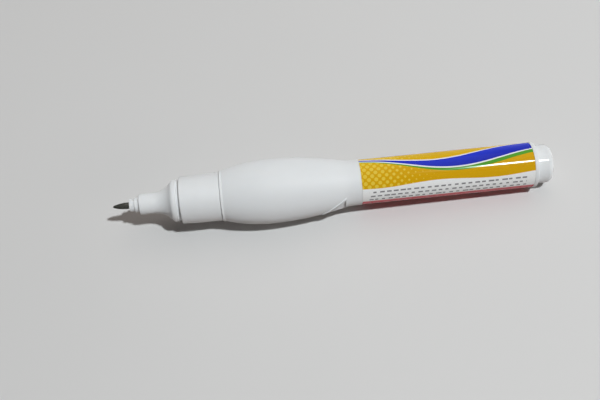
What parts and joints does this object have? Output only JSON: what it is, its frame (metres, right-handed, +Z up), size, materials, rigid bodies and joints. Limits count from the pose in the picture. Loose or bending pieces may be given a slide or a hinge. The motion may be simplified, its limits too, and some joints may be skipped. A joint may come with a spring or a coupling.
{
  "type": "correction pen",
  "caption": "Squeeze-type correction pen: bulbous bottle with wrapped label, collar for a push-on cap, flared nose, metal tip with sprung needle valve, loose mixing ball inside.",
  "frame": {"origin": "on the table under the middle of the pen's length, pen lying at rest on its belly and the rim of its tail", "axes": "+X along the pen from the tip to the tail, +Z up from the table; the pen's own axis leans about two degrees down towards the tail"},
  "size_m": [0.1304, 0.0192, 0.0189],
  "materials": {
    "white_barrel": "satin white polyethylene",
    "white_front": "white polypropylene, half gloss",
    "white_plug": "white polypropylene, glossy",
    "label_print": "printed glossy film, amber with plain bands and dots",
    "tip_metal": "turned metal, polished",
    "steel": "bright steel",
    "seal_rubber": "smooth black rubber",
    "natural_plastic": "natural polypropylene"
  },
  "bodies": {
    "pen": {"barrel": "white_barrel", "label": "label_print", "end_plug": "white_plug", "collar": "white_front", "nose_cone": "white_front", "neck_seal": "seal_rubber", "tip_bushing": "white_front", "metal_tip": "tip_metal", "valve_spring": "steel", "spring_retainer": "natural_plastic"},
    "needle": {"valve_needle": "steel"},
    "ball": {"mixing_ball": "steel"}
  },
  "joints": [
    {"name": "needle_press", "type": "slide", "parent": "pen", "child": "needle", "axis": [0.9994, 0, -0.0336], "range_m": [0, 0.00025], "stiffness_N_per_m": 800, "deforming": ["valve_spring"]},
    {"name": "ball_run", "type": "slide", "parent": "pen", "child": "ball", "axis": [-0.9994, 0, 0.0336], "range_m": [0, 0.07972]}
  ]
}
